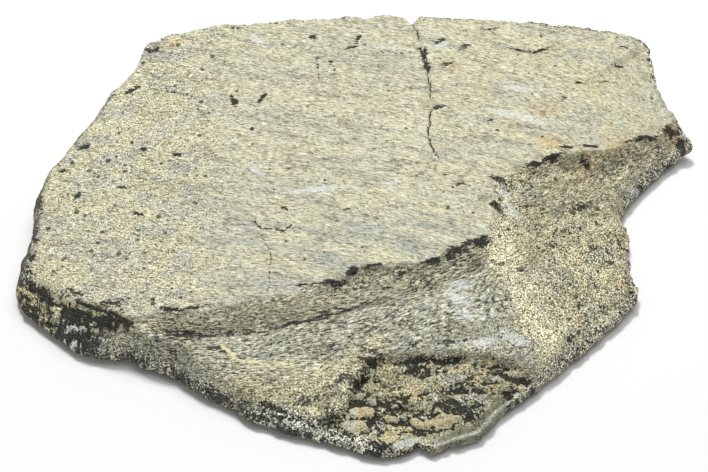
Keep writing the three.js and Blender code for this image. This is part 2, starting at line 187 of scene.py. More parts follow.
# Pale calcite and crystals
PALE_MARKS = [
    (-17, 34, 1.6, 0.5, -25), (5, 31.7, 3.7, 0.3, -5), (-16.5, 6, 1.7, 0.4, -40), (-7, 2, 4.4, 0.4, 5),
    (4, 3, 1.4, 0.4, 15), (6.5, 23, 0.3, 0.3, -20), (25, 23.5, 2.7, 0.4, 0), (24.5, 17.5, 4.9, 0.7, -15),
    (13, 32.5, 1.2, 0.5, 40), (11.5, 8.5, 0.6, 0.2, -60), (22, 2.5, 1.8, 0.9, -55), (23, 0, 2, 0.9, -70),
    (43.5, 9.5, 1.4, 0.2, 30), (23, -22.5, 2.4, 0.7, -20), (14.5, -16, 2.9, 0.9, -25), (15, -14, 1.8, 0.7, 0),
    (18.5, -23, 1.9, 0.7, 15), (16, -19, 1.9, 0.5, -15), (-46.5, -17, 1.2, 0.7, -55),
    (-41.5, -19, 2.4, 0.9, -20), (-47.5, -19, 2.7, 0.5, -50), (6.5, -38, 2.1, 0.5, 20),
]

# Rusty and yellow stains
RUST_MARKS = [
    (12, 5.5, 1.2, 0.4, -10), (29, 19, 2.2, 0.7, -5), (29.5, 12.5, 1.6, 0.9, -10), (41.5, 16, 0.7, 0.3, 15),
    (40, 14, 2.2, 0.5, 20), (-12, -1.5, 1.1, 0.5, 0), (14.5, 28, 1.9, 0.9, -35), (-31.2, 34.6, 1.6, 0.7, 20),
    (50, 19.5, 2.1, 0.7, 30), (40, 12.5, 1.7, 0.5, 25), (33, -17.5, 0.6, 0.3, 45), (35, 9.5, 2.2, 1, 40),
    (40, -10, 1, 0.3, -15),
]

# Large lenses of bone in the recess, each with a black line round it
LENSES = [
    (0, -33.5, 1.9, 0.7, 10), (-1, -35.4, 2, 0.9, -10), (4, -37, 1.3, 0.9, 20), (12, -34.5, 2.8, 0.8, 10),
    (-5.5, -36.2, 1.3, 0.6, 15), (8, -34.8, 0.9, 0.6, -30), (4.2, -34.2, 1.2, 0.5, -15),
]

# Deep hollows of the recess, painted black: black fill of the spongy bone, and along the back rim a painted
# shadow of the overhang
HOLLOWS = [
    (-0.5, -28.8, 2.9, 0.8, 50), (1.2, -25.9, 1.9, 0.45, 5), (7.5, -25.2, 2.2, 0.25, 10),
    (12.5, -25, 3.2, 0.3, 5), (13.5, -31.3, 1.5, 0.7, 5), (19.5, -26.6, 1.9, 0.4, -20),
    (22.5, -28, 2, 0.4, -25), (18, -29.4, 1.6, 0.3, 10), (9, -36.3, 1.6, 0.35, 15),
    (5.5, -32.6, 1.8, 0.35, 10),
]

# Smaller lenses in the dark corner and on the left wall: the second number is y plus 0.8 of the height
CORNER_LENSES = [
    (-52, -8, 1.4, 0.4, -26), (-50.4, -8.8, 1.6, 0.3, -10), (-52, -10, 0.7, 0.22, -35),
    (-50.4, -10.2, 0.8, 0.2, -10), (-49, -11.4, 1, 0.2, -15), (-51.2, -11.7, 0.8, 0.2, -30),
    (-47, -13, 0.8, 0.4, -70), (-49.2, -13.5, 0.6, 0.3, 20),
]

# The thin calcite thread that lies on the bench
THREAD = [
    (-21, -24), (-20, -25), (-19, -26), (-18, -26.5), (-16, -26.6), (-14.5, -27), (-13.5, -27.4),
    (-12, -26.6), (-10.5, -27),
]
THREAD_HEIGHT = 0.12


# Soft steps

def ease(t):
    t = np.clip(t, 0.0, 1.0)
    return t * t * (3.0 - 2.0 * t)


def above(value, start, reach):
    """0 up to the start, then up to 1 over the reach."""
    return ease((value - start) / reach)


def until(value, start, reach):
    """1 up to the start, then down to 0 over the reach."""
    return 1.0 - above(value, start, reach)


def below(value, start, reach):
    """0 down to the start, then up to 1 over the reach, as the value falls."""
    return ease((start - value) / reach)


def hump(value, middle, reach):
    """1 in the middle, and less the further away."""
    return np.exp(-((value - middle) / reach) ** 2)


def lerp(a, b, t):
    return a + (b - a) * t


# Random relief, fixed by its cell, so that every run gives the same surface

def cell_value(i, j, seed):
    """A number from 0 to 1 for each cell of a grid, the same one that the solid uses."""
    low = 0xFFFFFFFF
    h = (i * 374761393 + j * 668265263 + seed * 362437) & low
    h = ((h ^ (h >> 13)) * 1274126177) & low
    return ((h ^ (h >> 16)) & low) / 4294967296.0


def relief(x, y, long, wide, seed):
    """Soft relief from -1 to 1, in lumps about as long and wide as asked."""
    u = x / long
    v = y / wide
    i = np.floor(u).astype(np.int64)
    j = np.floor(v).astype(np.int64)
    s = ease(u - i)
    t = ease(v - j)
    near = lerp(cell_value(i, j, seed), cell_value(i + 1, j, seed), s)
    far = lerp(cell_value(i, j + 1, seed), cell_value(i + 1, j + 1, seed), s)
    return 2.0 * lerp(near, far, t) - 1.0


def layered(x, y, long, wide, seed, layers=3, keep=0.55):
    """Several layers of relief, each half as large and turned, with the same spread from -1 to 1."""
    total = np.zeros_like(x)
    weight = 1.0
    most = 0.0
    for layer in range(layers):
        turn = 0.35 * layer * min(1.0, wide / long)
        c, s = math.cos(turn), math.sin(turn)
        total += weight * relief(c * x + s * y, c * y - s * x, long, wide, seed + 17 * layer)
        most += weight
        weight *= keep
        long *= 0.5
        wide *= 0.5
    return total / most


def patchy(x, y, long, wide, seed):
    """Layered relief as a share from 0 to 1."""
    return 0.5 + 0.5 * layered(x, y, long, wide, seed)


def veins(x, y, long, wide, seed, keep=0.4):
    """How far layered relief is from its middle: least along crooked lines."""
    return np.abs(layered(x, y, long, wide, seed, layers=2, keep=keep))


def relief_3d(p, size, seed):
    """Relief from -1 to 1 that also changes with height, for walls."""
    q = p / size
    k = np.floor(q[:, 2]).astype(np.int64)
    levels = []
    for level in (k, k + 1):
        shift_x = 37.0 * cell_value(level, level * 0 + 3, seed)
        shift_y = 37.0 * cell_value(level, level * 0 + 7, seed)
        levels.append(relief(q[:, 0] + shift_x, q[:, 1] + shift_y, 1.0, 1.0, seed))
    return lerp(levels[0], levels[1], ease(q[:, 2] - k))


# Chains of points

def nearest_on(chain, x, y, closed=False):
    """The nearest place on a chain: how far off it is, which stretch it is on, and how far along that."""
    count = len(chain) if closed else len(chain) - 1
    distance = np.full(x.shape, np.inf)
    index = np.zeros(x.shape, int)
    share = np.zeros(x.shape)
    for i in range(count):
        ax, ay = chain[i][:2]
        bx, by = chain[(i + 1) % len(chain)][:2]
        dx, dy = bx - ax, by - ay
        t = np.clip(((x - ax) * dx + (y - ay) * dy) / (dx * dx + dy * dy), 0.0, 1.0)
        d = np.hypot(x - ax - t * dx, y - ay - t * dy)
        nearer = d < distance
        distance[nearer] = d[nearer]
        index[nearer] = i
        share[nearer] = t[nearer]
    return distance, index, share


def value_at(chain, index, share, k):
    """Column k of a chain's table at places that nearest_on found."""
    column = np.array([row[k] for row in chain], float)
    return lerp(column[index], column[(index + 1) % len(chain)], share)


def is_inside(polygon, x, y):
    inside = np.zeros(x.shape, bool)
    for i in range(len(polygon)):
        ax, ay = polygon[i][:2]
        bx, by = polygon[i - 1][:2]
        if ay == by:
            continue
        crosses = ((ay > y) != (by > y)) & (x < ax + (bx - ax) * (y - ay) / (by - ay))
        inside ^= crosses
    return inside


def sampled(chain, spacing, closed=False):
    """The chain as points a set distance apart, with its corners kept."""
    rows = []
    count = len(chain) if closed else len(chain) - 1
    for i in range(count):
        start = np.array(chain[i], float)
        end = np.array(chain[(i + 1) % len(chain)], float)
        length = math.hypot(end[0] - start[0], end[1] - start[1])
        steps = max(1, math.floor(length / spacing + 0.5))
        rows += [lerp(start, end, k / steps) for k in range(steps)]
    if not closed:
        rows.append(np.array(chain[-1], float))
    return np.array(rows)


def broken_outline():
    """The rim: the solid's own rough outline, with finer breaks between its points."""
    rough = sampled(OUTLINE, RIM_FACET, True)
    corners = {row[:2] for row in OUTLINE}
    moves = np.array([tuple(row[:2]) not in corners for row in rough])
    x, y = rough[:, :2].T.copy()
    for axis in (0, 1):
        rough[moves, axis] += ROUGHNESS["outline"] * relief(x, y, 2.1, 2.1, 11 + axis)[moves]
    fine = sampled(rough, RIM_SPACING, True)
    x, y = fine[:, :2].T.copy()
    for axis, half in enumerate((LENGTH / 2, WIDTH / 2)):
        fine[:, axis] += ROUGHNESS["rim"] * layered(x, y, 1.0, 1.0, 31 + axis)
        fine[:, axis] = np.clip(fine[:, axis], -half, half)
    return fine


def plane_height(spots, x, y):
    """The height at (x, y) of the plane through three spot heights."""
    a, b, c = (Vector(p) for p in spots)
    n = (b - a).cross(c - a)
    return a.z - (n.x * (x - a.x) + n.y * (y - a.y)) / n.z


class Ground:
    """Everything that is worked out once for each point of the upper face."""

    def __init__(self, x, y):
        self.x, self.y = x, y
        lip, index, share = nearest_on(LEDGE, x, y)
        self.ledge_width = value_at(LEDGE, index, share, 2)
        side = np.where(is_inside(PLATE, x, y), -1.0, 1.0)
        ragged = 0.45 * layered(x, y, 1.7, 1.1, 41) + 0.2 * relief(x, y, 0.6, 0.5, 44)
        self.past_lip = lip * side + ragged  # more than 0 in front of the lip
        self.lower = ease(self.past_lip / 0.5 + 0.5)
        self.edge, index, share = nearest_on(OUTLINE, x, y, closed=True)
        self.rim_height = value_at(OUTLINE, index, share, 2)
        self.climb = np.clip(self.edge / value_at(OUTLINE, index, share, 3), 0.0, 1.0)
        self.bench_plane = plane_height(BENCH, x, y)
        self.slope_plane = plane_height(GRAINY_SLOPE, x, y)
        gap = self.bench_plane - self.slope_plane
        self.on_slope = ease((gap + 0.5 * relief(x, y, 2.0, 2.0, 45)) / 0.8 + 0.5)
        self.crest = hump(gap, 0.9, 1.1)
        self.band = above(x, 22, 6) * until(self.past_lip, 5, 5)
        self.trough, _, _ = nearest_on(TROUGH, x, y)
        rim, _, _ = nearest_on(RECESS, x, y, closed=True)
        rim = rim + 0.5 * layered(x, y, 1.8, 1.2, 46)
        self.in_recess = np.where(is_inside(RECESS, x, y), ease(rim / RECESS_RIM), 0.0)
        _, index, share = nearest_on(CRACK, x, y)
        self.crack_along = (index + share) / (len(CRACK) - 1)
        # Across the fibres: they bend down to the right on the plate, and follow the trough on the bench
        plate_bend = -0.21 * x - 0.0009 * np.clip(x + 12.0, 0.0, 45.0) ** 2
        front = above(self.past_lip, 3, 14)
        bench_bend = 0.0051 * np.clip(x + 28.0, 0.0, 60.0) ** 2 * (1.0 - 0.55 * front)
        slope_bend = 0.5 * (x - 25.0)
        lower_bend = np.where(self.on_slope < 0.5, bench_bend, slope_bend)
        self.along = x
        self.across = y - np.where(self.past_lip < 0.0, plate_bend, lower_bend)

    def by_face(self, plate, bench, slope):
        """A value that differs between the plate, the bench and the slope."""
        return lerp(plate, lerp(bench, slope, self.on_slope), self.lower)


# Heights

def plate_height(g):
    x, y = g.x, g.y
    height = CROWN_HEIGHT - 0.0014 * (x - 2) ** 2 - 0.0009 * (y - 12) ** 2
    height = height - 0.11 * (x - 38 + np.hypot(x - 38, 3.0)) + ROUGHNESS["plate"] * relief(x, y, 9, 4, 1)
    fibres = layered(g.along, g.across, 7.0, 0.9, 51)
    grains = layered(x, y, 1.3, 1.0, 55)
    return height + 0.05 * fibres + (0.03 + 0.07 * below(x, -18, 14)) * grains


def lower_height(g):
    """The bench and the slope, whichever is lower, with the trough and the recess."""
    x, y = g.x, g.y
    bench = g.bench_plane + ROUGHNESS["bench"] * relief(x, y, 4.5, 2.2, 2)
    bench = bench + 0.13 * layered(g.along, g.across, 5.2, 0.8, 61) + 0.06 * layered(x, y, 0.9, 0.7, 64)
    slope = g.slope_plane + ROUGHNESS["grain"] * relief(x, y, 2.6, 2.6, 3)
    slope = slope + 0.17 * layered(x, y, 1.9, 1.4, 67, keep=0.6)
    slope = slope + 0.16 * g.band * layered(g.along, g.across, 5.0, 0.9, 71)
    height = np.minimum(bench, slope) - TROUGH_DEPTH * hump(g.trough, 0, TROUGH_REACH)
    groove_reach = 0.35 + 0.2 * (relief(x, y, 3.0, 3.0, 75) + 1.0)
    height = height - 0.4 * hump(g.trough, 0, groove_reach)
    drop = g.in_recess * (RECESS_DEPTH + ROUGHNESS["spongy"] * relief(x, y, 3.2, 2.2, 4))
    return height - drop + g.in_recess * g.cell_relief


def add_spongy_bone(g):
    """The spongy bone of the recess: its crooked gaps, its lenses and what kind of strut is where."""
    x, y = g.x, g.y
    u = x + 1.1 * layered(x, y, 2.6, 2.0, 81)
    v = y - 0.1 * x + 0.7 * layered(x, y, 2.4, 1.8, 84)
    g.front = ease((-29.5 - y + 0.1 * (x - 6) + 1.2 * relief(x, y, 3.0, 2.0, 95)) / 3.0 + 0.5)
    g.streaky = above(x + 0.5 * (y + 27.0), 15, 4) * g.in_recess
    large = until(veins(u, v, 3.0, 1.5, 87, keep=0.35), 0.04, 0.2)
    small = until(veins(u, v, 1.6, 0.8, 91), 0.06, 0.26)
    open_here = above(layered(x, y, 4.2, 2.6, 97), -0.15, 0.3)
    gap = np.maximum(large * lerp(0.7, 1.0, g.front), small * open_here)
    long_gap = until(veins(u + 0.3 * v, v + 0.25 * u, 3.4, 0.85, 239), 0.09, 0.16)
    gap = lerp(gap, long_gap, g.streaky)
    bars = below(veins(u, v, 1.3, 0.9, 245), 0.16, 0.1)
    # the hollows are deepened and painted black; along the back rim they are a painted shadow of the overhang
    g.hollow = mark_strength(HOLLOWS, x, y, 241, spread=0.75) * (1.0 - 0.6 * bars)
    gap = np.maximum(gap, g.hollow)
    g.lens = mark_strength(LENSES, x, y, 99, spread=0.15)
    grown = [(a, b, c + 0.4, d + 0.35, turn) for a, b, c, d, turn in LENSES]
    g.lens_line = np.clip(mark_strength(grown, x, y, 99, spread=0.15) - g.lens, 0.0, 1.0)
    g.gap = np.maximum(gap * (1.0 - g.lens), g.lens_line)
    g.kind = 0.5 + 0.5 * relief(u, v, 1.5, 0.8, 93)
    g.cell_relief = 0.42 * (1.0 - g.gap) - 0.25 + 0.22 * g.lens


def add_dark_corner(g, z):
    """The dark, streaky break at the left end, the streaks of the walls, and the recess's smooth lip."""
    x, y = g.x, g.y
    upward = y + 0.8 * z
    bound = -34.0 - 8.4 * np.clip((g.past_lip - 0.5) / 2.6, 0.0, 1.0) + 1.6 * layered(x, y, 2.4, 1.2, 211)
    corner = ease((bound - x) / 1.2 + 0.5) * ease(g.past_lip / 0.7 + 0.3) * (y < -7)
    up_the_wall = until(g.climb + 0.3 * layered(x, y, 1.6, 1.0, 243), 0.55, 0.3)
    g.corner = np.maximum(corner, up_the_wall * below(x, -46.5, 1.5) * below(upward, -6.2, 1.6))
    lip = below(g.edge - 0.6 * layered(x, y, 2.0, 2.0, 213), 2.1, 0.7)
    g.smooth_lip = lip * above(x, 10, 2) * until(x, 20, 3) * (y < -26)
    streaks_along = x * 0.94 - upward * 0.34
    streaks_across = x * 0.34 + upward * 0.94
    g.along = np.where(g.corner > 0.5, streaks_along, g.along)
    g.across = np.where(g.corner > 0.5, streaks_across, g.across)
    bent = streaks_across + 0.5 * layered(x, upward, 3.0, 2.0, 101)
    streak = layered(streaks_along, bent, 2.1, 0.46, 103, keep=0.5)
    web = 0.13 - veins(x, upward, 1.5, 1.0, 106)
    g.webbed = hump(x, -44, 2.6) * below(upward, -12, 1.5)
    under_lip = hump(g.past_lip, 1, 1) * above(x, -46, 2)
    more = 0.01 - 0.08 * below(x, -48, 2) * above(upward, -13, 2)
    g.strut = above(lerp(streak + more, 2.0 * web, g.webbed) - 0.24 * under_lip, 0.0, 0.1)
    g.corner_lens = mark_strength(CORNER_LENSES, x, upward, 219, spread=0.2)
    g.strut = np.maximum(g.strut, g.corner_lens)
    rim_streak = layered(x - 0.4 * upward, upward + 0.4 * x, 1.8, 0.42, 109, keep=0.6)
    g.rim_strut = above(rim_streak, -0.08, 0.12)


def upper_height(g):
    """The whole upper face: the plate, the ledge, what is below it, the chips and the walls."""
    x, y = g.x, g.y
    plate = plate_height(g)
    lower = np.minimum(lower_height(g), plate)
    t = np.clip(g.past_lip / g.ledge_width, 0.0, 1.0)
    soft = above(x, -33, 3) * until(x, -10, 6)
    height = lerp(plate, lower, lerp(1.0 - (1.0 - t) ** 2.6, ease(t), 0.25 + 0.6 * soft))
    for cx, cy, radius, depth in CHIPS:
        away = np.hypot(x - cx, (y - cy) * 1.4) + 0.25 * relief(x, y, 0.8, 0.8, 111)
        height = height - depth * until(away, 0, radius)
    height = height - pits(g)
    low = g.rim_height + RIM_BAND / 2
    wall = ROUGHNESS["wall"] * 4 * g.climb * (1 - g.climb) * relief(x, y, 2.4, 1.8, 5)
    return lerp(low, np.maximum(height, low + 0.4), 1.0 - (1.0 - g.climb) ** 2.2) + wall


def pits(g):
    """Small round pits, most of them at the left end of the plate. The look needs them too, as g.pit."""
    x, y = g.x, g.y
    depth = np.zeros_like(x)
    for size, seed, share in ((3.1, 121, 0.3), (1.9, 125, 0.2)):
        i = np.floor(x / size).astype(np.int64)
        j = np.floor(y / size).astype(np.int64)
        px = (i + 0.2 + 0.6 * cell_value(i, j, seed)) * size
        py = (j + 0.2 + 0.6 * cell_value(i, j, seed + 1)) * size
        there = cell_value(i, j, seed + 2) < share * (1.0 + 0.8 * below(x, -20, 15))
        radius = 0.11 * size * (0.6 + 0.8 * cell_value(i, j, seed + 3))
        away = np.hypot(x - px, y - py) / radius
        depth = np.maximum(depth, np.where(there, 0.9 * radius * (1.0 - ease(away)), 0.0))
    g.pit = np.clip(depth / 0.12, 0.0, 1.0)
    return depth


def lower_face_height(x, y):
    """The underside: flat over the oval that it rests on, then up to the rim."""
    edge, index, share = nearest_on(OUTLINE, x, y, closed=True)
    high = value_at(OUTLINE, index, share, 2) - RIM_BAND / 2
    beyond = np.maximum(0.0, np.hypot(x / REST_HALF_LENGTH, y / REST_HALF_WIDTH) - 1.0)
    rise = np.minimum(BASE_RISE * ease(beyond), high)
    turn = 1.0 - np.clip(edge / (BASE_EDGE * (0.4 + 0.09 * high)), 0.0, 1.0)
    rough = ROUGHNESS["wall"] * 3 * turn * (1 - turn) * relief(x, y, 3, 2.4, 6)
    height = np.where(beyond > 0, np.maximum(0.05, lerp(rise, high, turn ** 1.8) + rough), 0.0)
    fine = 0.1 * layered(x, y, 8.0, 1.6, 131) + 0.07 * layered(x, y, 2.6, 1.4, 134)
    return np.maximum(0.0, height + ease(edge / 1.2) * (fine + 0.03))


# The mesh

def grid_points(spacing, seed):
    """A triangular grid inside the outline, each point a little out of place."""
    xs = np.arange(-LENGTH / 2, LENGTH / 2, spacing)
    ys = np.arange(-WIDTH / 2, WIDTH / 2, spacing * math.sqrt(0.75))
    x, y = np.meshgrid(xs, ys)
    x = x + 0.5 * spacing * (np.arange(len(ys)) % 2)[:, None]
    i = np.arange(x.size, dtype=np.int64)
    x = x.ravel() + 0.36 * spacing * (cell_value(i, i * 0 + 1, seed) - 0.5)
    y = y.ravel() + 0.36 * spacing * (cell_value(i, i * 0 + 2, seed) - 0.5)
    inside = is_inside(sampled(OUTLINE, RIM_FACET, True), x, y)
    return np.column_stack([x, y])[inside]


def clear_of(points, others, gap):
    """The points that keep a gap to all the others."""
    tree = kdtree.KDTree(len(others))
    for k, (x, y) in enumerate(others):
        tree.insert((x, y, 0.0), k)
    tree.balance()
    keep = [tree.find((x, y, 0.0))[2] > gap for x, y in points]
    return points[np.array(keep)]


def triangulated(points, edges, face_up):
    """Delaunay triangles of the points, inside the rim, with the edges kept, all facing up or all down."""
    flat = [Vector((float(x), float(y))) for x, y in points]
    _, _, faces, origin, _, _ = geometry.delaunay_2d_cdt(flat, edges, [], 1, 1e-6)
    source = [ids[0] if ids else -1 for ids in origin]
    if min(source) < 0:
        raise RuntimeError("the mesh's lines cross")
    faces = np.array([[source[k] for k in face] for face in faces])
    a, b, c = points[faces[0]]
    is_up = (b[0] - a[0]) * (c[1] - a[1]) > (b[1] - a[1]) * (c[0] - a[0])
    return faces if is_up == face_up else faces[:, ::-1]


def chain_edges(first, count, closed=False):
    edges = [(first + k, first + k + 1) for k in range(count - 1)]
    if closed:
        edges.append((first + count - 1, first))
    return edges


def fine_lines():
    """The lines that get points of their own: the crack, the fine cracks and, last, the thread."""
    chains = [sampled(CRACK, LINE_SPACING)[2:]]
    chains += [sampled(points, LINE_SPACING) for points, _, _ in FINE_CRACKS]
    chains.append(sampled(THREAD, LINE_SPACING))
    wobbled = []
    for chain in chains:
        x, y = chain.T
        dx = 0.28 * layered(x, y, 1.3, 1.3, 141)
        dy = 0.12 * layered(x, y, 1.3, 1.3, 142)
        wobbled.append(np.column_stack([x + dx, y + dy]))
    return wobbled


def upper_points(rim, lines):
    """The points of the upper face, the rim's and the lines' first, and the edges to keep."""
    points = np.vstack([rim[:, :2]] + lines)
    edges = chain_edges(0, len(rim), closed=True)
    first = len(rim)
    for chain in lines:
        edges += chain_edges(first, len(chain))
        first += len(chain)
    for spacing, seed, gap, broken in ((FINE_SPACING, 151, 0.62, True), (SPACING, 152, 0.7, False)):
        grid = grid_points(spacing, seed)
        grid = grid[is_broken(*grid.T) == broken]
        points = np.vstack([points, clear_of(grid, points, gap * FINE_SPACING)])
    return points, edges


def is_broken(x, y):
    """Where the upper face needs the finer grid: by the rim, the ledge and in the spongy bone."""
    edge, _, _ = nearest_on(OUTLINE, x, y, closed=True)
    lip, _, _ = nearest_on(LEDGE, x, y)
    corner = (x < -34) & (y < -14)
    return (edge < 2.8) | (lip < 2.2) | is_inside(RECESS, x, y) | corner


def vertex_normals(points, faces):
    a, b, c = (points[faces[:, k]] for k in range(3))
    face_normals = np.cross(b - a, c - a)
    normals = np.zeros_like(points)
    for k in range(3):
        np.add.at(normals, faces[:, k], face_normals)
    return normals / np.maximum(np.linalg.norm(normals, axis=1), 1e-12)[:, None]


def for_all(upper, lower, n):
    """Values for every point: each row of the rim's band repeats those of the rim's n upper points."""
    return np.concatenate([upper] + [upper[:n]] * (BAND_ROWS - 2) + [lower])


# Colours

def rgb(red, green, blue):
    """A colour given as screen values, as the linear values that Blender takes."""
    values = np.array([red, green, blue], float) / 255.0
    return np.where(values <= 0.04045, values / 12.92, ((values + 0.055) / 1.055) ** 2.4)


CREAM = rgb(213, 210, 182)
GREY_BONE = rgb(190, 191, 174)
COOL_GREY = rgb(179, 183, 174)
YELLOW_BONE = rgb(208, 203, 164)
WARM_BONE = rgb(215, 206, 168)
OLIVE = rgb(152, 149, 118)
BENCH_GREY = rgb(196, 196, 175)
SAND = rgb(214, 208, 173)
CREST = rgb(234, 228, 194)
STRUT_TAN = rgb(212, 201, 160)
STRUT_PALE = rgb(204, 205, 188)
STRUT_OLIVE = rgb(184, 182, 148)
LIP_GREY = rgb(130, 131, 111)
WALL_GREY = rgb(186, 184, 164)
CORTEX = rgb(172, 171, 150)
# Black and brown of the mineral, also used for the painted shade in the trough and the painted shadow along the
# recess's back rim
MINERAL_AND_SHADE_BLACK = rgb(24, 24, 24)
PORE_AND_SHADE_BROWN = rgb(70, 66, 52)
CALCITE = rgb(232, 236, 228)
RUST = rgb(206, 150, 84)
THREAD_YELLOW = rgb(248, 241, 190)


def painted(tone, layers):
    """The tone with others over it: each layer is a tone and how much of each point it covers."""
    for over, cover in layers:
        tone = tone + (over - tone) * cover[:, None]
    return tone


def mark_strength(marks, x, y, seed, spread):
    """How strongly the marks cover each point, with ragged edges."""
    total = np.zeros_like(x)
    ragged = 0.6 * layered(x, y, 1.3, 0.42, seed)
    for cx, cy, half_length, half_width, turn in marks:
        c, s = math.cos(math.radians(turn)), math.sin(math.radians(turn))
        near = (np.abs(x - cx) < half_length + 1.5) & (np.abs(y - cy) < half_length + 1.5)
        dx, dy = x[near] - cx, y[near] - cy
        along = (c * dx + s * dy) / (half_length + 0.1)
        across = (c * dy - s * dx) / (half_width + 0.1)
        away = np.hypot(along, across) + ragged[near] * 0.9
        total[near] = np.maximum(total[near], until(away, 1.0 - spread, 2.0 * spread))
    return total


def chain_cover(chain, x, y, half_width):
    distance, _, _ = nearest_on(chain, x, y)
    return until(distance, 0.4 * half_width, 0.9 * half_width)


def add_zones(g):
    """Zones and patches that several parts of the look share."""
    x, y = g.x, g.y
    g.left = below(x, -14, 16)
    g.below_lip = hump(g.past_lip, 0.5 * g.ledge_width, 0.5 * g.ledge_width) * g.lower
    g.patches = patchy(x, y, 6.0, 4.0, 165)
    g.blotches = patchy(x, y, 3.4, 2.4, 169)
    g.fibre_streaks = patchy(g.along, g.across, 7.0, 1.0, 173)
    g.lumps = layered(0.64 * x - 0.77 * y, 0.77 * x + 0.64 * y, 2.2, 0.9, 247, layers=2, keep=0.5)
    g.grey_lumps = above(g.lumps, 0.16, 0.24) * (1.0 - 0.6 * g.crest)


def add_walls(g):
    """Where the broken walls show, and how much of them their black pores take."""
    x, y = g.x, g.y
    left_wall = below(x, -44, 4) * below(y, 8, 6)
    g.open_front = above(x, -17, 4) * until(x, 1, 3) * below(y, -27, 2)
    top = 0.12 + 0.3 * left_wall + 0.42 * g.open_front
    g.wall = until(g.climb - top + 0.25 * layered(x, y, 1.2, 0.9, 177), 0.0, 0.4) * (1.0 - g.smooth_lip)
    front = below(y, -18, 5) * until(x, 10, 3) * (0.45 + 0.55 * above(x, -31, 4))
    darkness = 0.5 + 0.5 * np.maximum(front, below(x, -38, 6))
    g.bare = above(x, -44, 1.5) * until(x, -38, 2.5)
    darkness = darkness * (1.0 - 0.9 * g.bare * above(g.climb, 0.04, 0.1))
    g.low_wall = above(x, -37, 2) * until(x, -25, 6)
    darkness = darkness * (1.0 - 0.75 * g.low_wall * above(g.climb, 0.08, 0.12))
    closed_wall = above(x, -36, 2) * until(x, -17, 3)
    struts = (0.75 - 0.35 * closed_wall) * g.rim_strut
    g.wall_pores = g.wall * (0.95 - struts) * darkness


def plate_tone(g):
    streaks = patchy(g.along, g.across, 13.0, 1.5, 161)
    low = below(g.y, 6, 12) * (1.0 - g.left)
    return painted(CREAM, [
        (GREY_BONE, above(streaks, 0.38, 0.34) * (0.5 + 0.4 * low)),
        (YELLOW_BONE, g.left * above(g.blotches, 0.4, 0.25) * 0.45),
        (COOL_GREY, g.left * below(g.blotches, 0.46, 0.2) * 0.5),
        (WARM_BONE, above(g.x, 10, 20) * above(g.patches, 0.4, 0.3) * 0.6),
        (COOL_GREY, low * above(g.patches, 0.5, 0.25) * 0.4),
    ])


def bench_tone(g):
    return painted(BENCH_GREY, [
        (SAND, above(g.past_lip + 3.0 * (g.blotches - 0.5), 7, 5) * (g.x < 4)),
        # painted shade: olive along the trough's crease
        (OLIVE, hump(g.trough, 0, 1.4) * 0.3),
        (OLIVE, above(g.fibre_streaks, 0.5, 0.25) * 0.45),
    ])


def slope_tone(g):
    return painted(0.9 * SAND, [
        (CREST, g.crest * 0.9),
        (OLIVE, g.band * (0.25 + 0.45 * above(g.fibre_streaks, 0.45, 0.25))),
        (BENCH_GREY, above(g.patches, 0.55, 0.2) * 0.5),
        (OLIVE, above(g.blotches, 0.5, 0.25) * 0.3 * (1.0 - g.crest)),
        (0.86 * BENCH_GREY, g.grey_lumps * 0.6),
        (YELLOW_BONE, below(g.lumps, -0.12, 0.24) * 0.4),
    ])


def spongy_tone(g):
    lens_tone = np.where((np.abs(g.x - 8.0) < 9.0)[:, None], STRUT_TAN, STRUT_PALE)
    return painted(STRUT_OLIVE, [
        (STRUT_TAN, above(g.kind, 0.64, 0.1)), (STRUT_PALE, below(g.kind, 0.32, 0.1)), (lens_tone, g.lens),
    ])


def corner_tone(g):
    return painted(STRUT_OLIVE, [
        (STRUT_TAN, above(g.kind, 0.5, 0.1)), (CALCITE, 0.7 * g.webbed), (STRUT_TAN, g.corner_lens * (g.x < -48)),
    ])


def upper_tone(g):
    """The bone's colour on the whole upper face, without the rim's line and the thread, with painted light on the
    face below the ledge's lip and painted shade in the trough.
    """
    lower = painted(bench_tone(g), [
        # painted light: the face below the ledge's lip is lightened towards the crest's colour, to offset the
        # shade it gets
        (slope_tone(g), g.on_slope), (CREST, 0.6 * g.below_lip), (spongy_tone(g), g.in_recess * 0.9),
        (LIP_GREY, g.smooth_lip),
    ])
    return painted(plate_tone(g), [
        (lower, g.lower), (WALL_GREY, g.wall * 0.7), (CALCITE, g.wall * g.open_front * 0.4),
        (corner_tone(g), g.corner),
    ])


